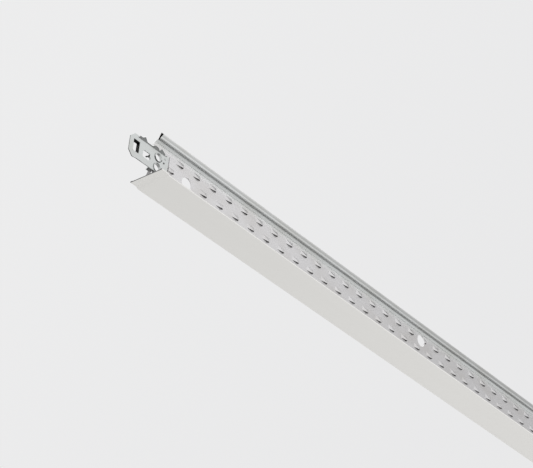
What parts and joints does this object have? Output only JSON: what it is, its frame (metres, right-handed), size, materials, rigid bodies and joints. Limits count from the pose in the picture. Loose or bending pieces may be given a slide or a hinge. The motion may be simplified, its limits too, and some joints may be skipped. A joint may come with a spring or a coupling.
{
  "type": "ceiling cross tee",
  "caption": "Steel cross tee for a suspended ceiling grid: stitched double web with a hollow top bulb, capped flat face and a hooked clip at each end.",
  "frame": {"origin": "mid-length of the tee, on the centre line of its visible face", "axes": "+X along the tee, +Z from the visible face up to the bulb, +Y across the flange"},
  "size_m": [1.2202, 0.024, 0.032],
  "materials": {
    "galvanised_strip": "galvanised, satin, faintly streaked along the strip",
    "white_paint": "matt white coil paint",
    "clip_steel": "plain stamped steel, satin"
  },
  "bodies": {
    "root": {"tee_body": "galvanised_strip", "face_cap": "white_paint", "end_clip_left": "clip_steel", "end_clip_right": "clip_steel"}
  },
  "joints": []
}
